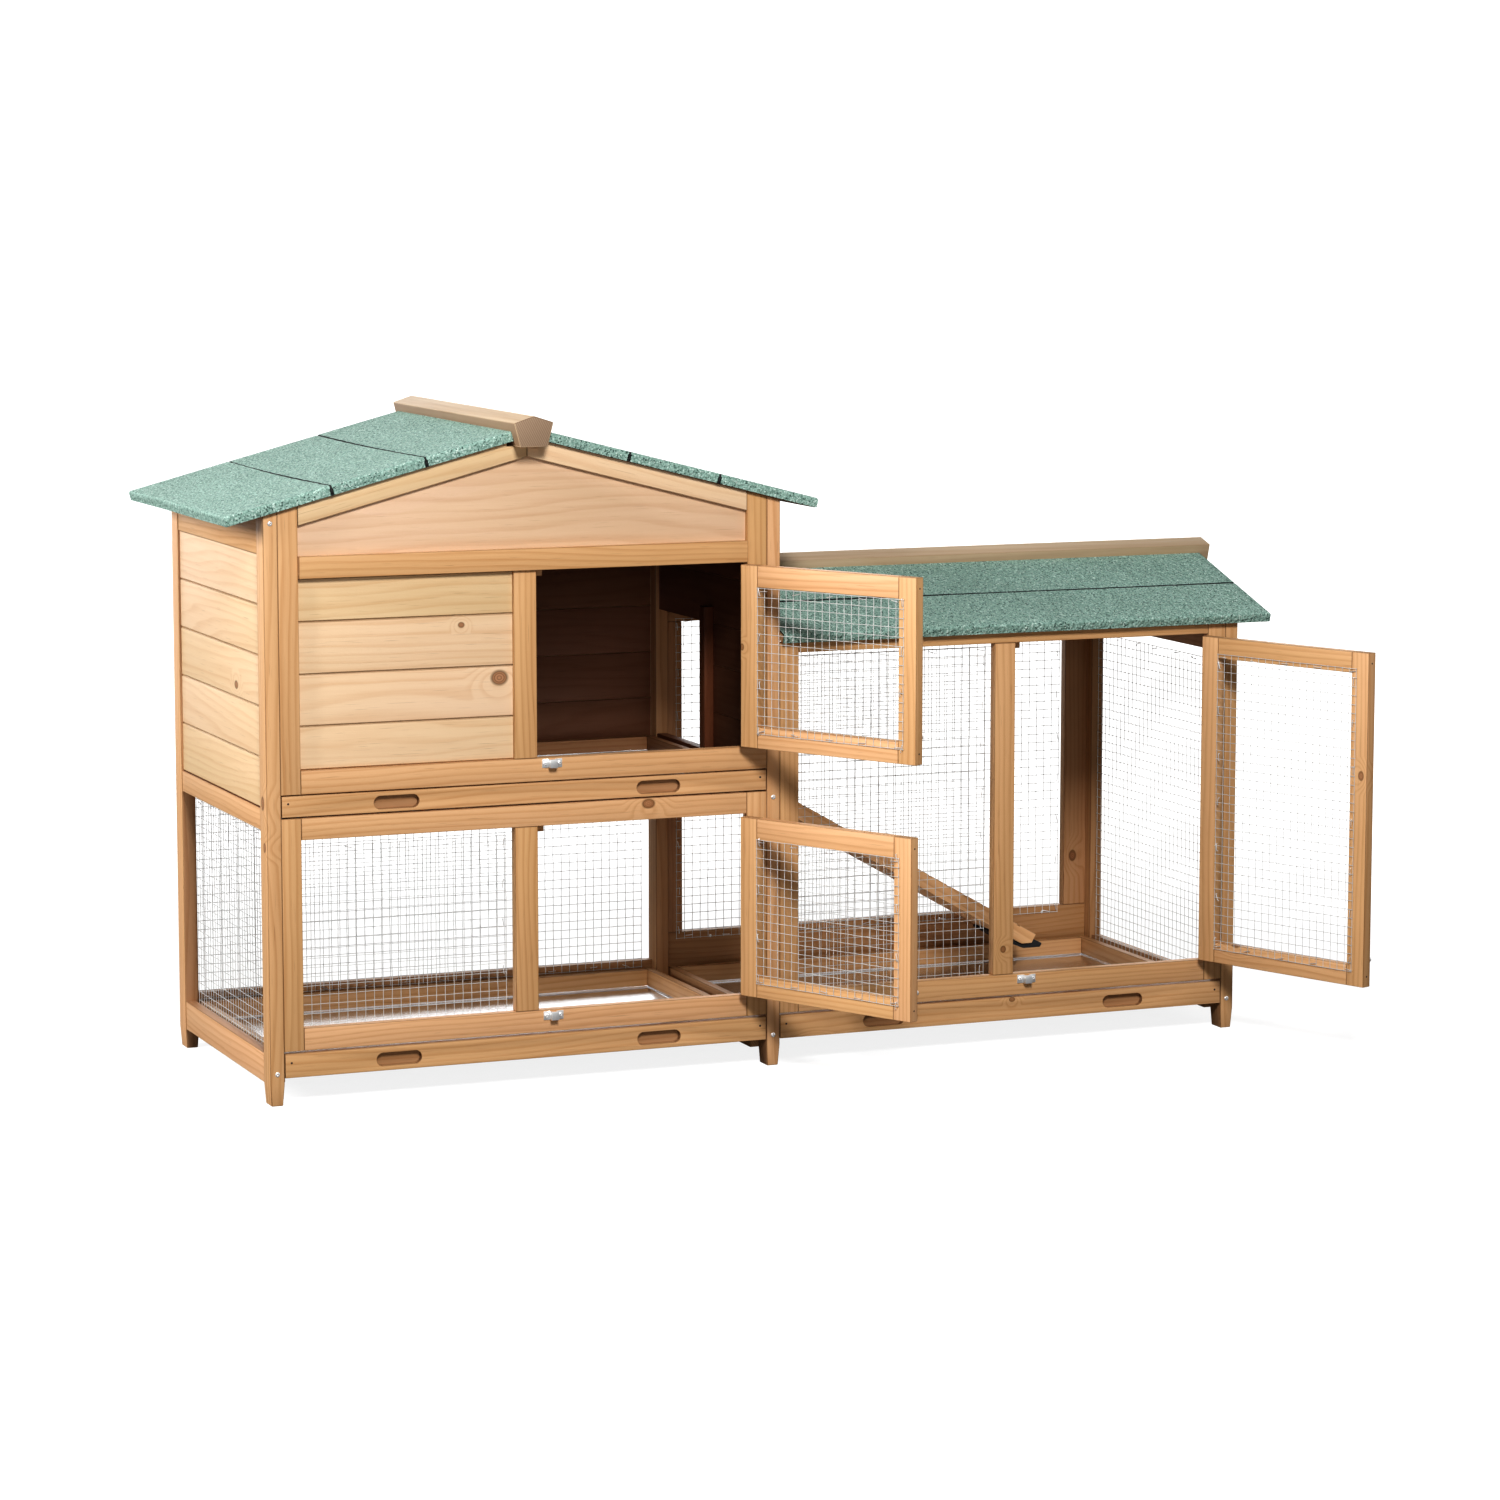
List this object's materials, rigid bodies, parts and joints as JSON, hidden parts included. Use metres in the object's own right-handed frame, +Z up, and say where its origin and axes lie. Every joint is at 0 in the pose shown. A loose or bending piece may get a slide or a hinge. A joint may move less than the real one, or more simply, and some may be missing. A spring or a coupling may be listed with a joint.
{
  "type": "rabbit hutch",
  "caption": "Two-storey wooden rabbit hutch with a gabled felt roof, mesh doors, pull-out trays and a lower run reached by a ramp.",
  "frame": {"origin": "on the floor, under the middle of the box round the hutch with its doors open", "axes": "+X along the front from the house to the run, +Y from the front to the back, +Z up"},
  "size_m": [1.5996, 0.7978, 0.9265],
  "materials": {
    "fir": "satin",
    "pale_boards": "satin",
    "gable_ply": "satin",
    "roof_felt": "matte",
    "wire": "satin",
    "tray_zinc": "satin",
    "zinc": "polished",
    "black_rubber": "matte"
  },
  "bodies": {
    "hutch": {"house_posts": "fir", "run_posts": "fir", "upper_frame": "fir", "header_batten": "fir", "front_gable": "gable_ply", "barge_boards": "pale_boards", "front_cladding": "pale_boards", "lower_frame": "fir", "left_rails": "fir", "left_cladding": "pale_boards", "right_rails": "fir", "right_cladding": "pale_boards", "back_rails": "fir", "back_cladding": "pale_boards", "back_gable": "gable_ply", "run_frame": "fir", "run_side_rails": "fir", "run_back_frame": "fir", "run_gable": "gable_ply", "tray_runners": "fir", "centre_bearer": "fir", "lower_mesh": "wire", "left_mesh": "wire", "house_back_mesh": "wire", "run_front_mesh": "wire", "run_side_mesh": "wire", "run_back_mesh": "wire", "house_roof_boards": "pale_boards", "house_felt": "roof_felt", "house_ridge": "fir", "run_roof_boards": "pale_boards", "run_felt": "roof_felt", "run_ridge": "fir", "frame_screws": "zinc", "bolt_keepers": "zinc", "door_stops": "fir", "fixed_hinges": "zinc"},
    "upper_door": {"upper_door": "fir", "upper_door_mesh": "wire", "upper_door_fittings": "zinc"},
    "lower_door": {"lower_door": "fir", "lower_door_mesh": "wire", "lower_door_fittings": "zinc"},
    "run_door": {"run_door": "fir", "run_door_mesh": "wire", "run_door_fittings": "zinc"},
    "upper_bolt": {"upper_bolt": "zinc"},
    "lower_bolt": {"lower_bolt": "zinc"},
    "run_bolt": {"run_bolt": "zinc"},
    "upper_tray": {"upper_tray": "fir", "upper_pan": "tray_zinc"},
    "lower_tray": {"lower_tray": "fir", "lower_pan": "tray_zinc"},
    "run_tray": {"run_tray": "fir", "run_pan": "tray_zinc"},
    "ramp": {"ramp": "fir", "ramp_foot": "black_rubber", "ramp_hinges": "zinc"}
  },
  "joints": [
    {"name": "upper_door_hinge", "type": "hinge", "parent": "hutch", "child": "upper_door", "pos_m": [-0.04932, -0.10571, 0.58], "axis": [0, 0, 1], "range_deg": [-118.3, 35]},
    {"name": "lower_door_hinge", "type": "hinge", "parent": "hutch", "child": "lower_door", "pos_m": [-0.04932, -0.10571, 0.2], "axis": [0, 0, 1], "range_deg": [-116.8, 35]},
    {"name": "run_door_hinge", "type": "hinge", "parent": "hutch", "child": "run_door", "pos_m": [0.67468, -0.10571, 0.2], "axis": [0, 0, 1], "range_deg": [-111.4, 35]},
    {"name": "upper_bolt_slide", "type": "slide", "parent": "upper_door", "child": "upper_bolt", "axis": [0, 0, -1], "range_m": [0, 0.014]},
    {"name": "lower_bolt_slide", "type": "slide", "parent": "lower_door", "child": "lower_bolt", "axis": [0, 0, -1], "range_m": [0, 0.014]},
    {"name": "run_bolt_slide", "type": "slide", "parent": "run_door", "child": "run_bolt", "axis": [0, 0, -1], "range_m": [0, 0.014]},
    {"name": "upper_tray_slide", "type": "slide", "parent": "hutch", "child": "upper_tray", "axis": [0, -1, 0], "range_m": [0, 0.38]},
    {"name": "lower_tray_slide", "type": "slide", "parent": "hutch", "child": "lower_tray", "axis": [0, -1, 0], "range_m": [0, 0.38]},
    {"name": "run_tray_slide", "type": "slide", "parent": "hutch", "child": "run_tray", "axis": [0, -1, 0], "range_m": [0, 0.38]},
    {"name": "ramp_hinge", "type": "hinge", "parent": "hutch", "child": "ramp", "pos_m": [0.00218, 0.26089, 0.3848], "axis": [0, -1, 0], "range_deg": [0, 42]}
  ]
}
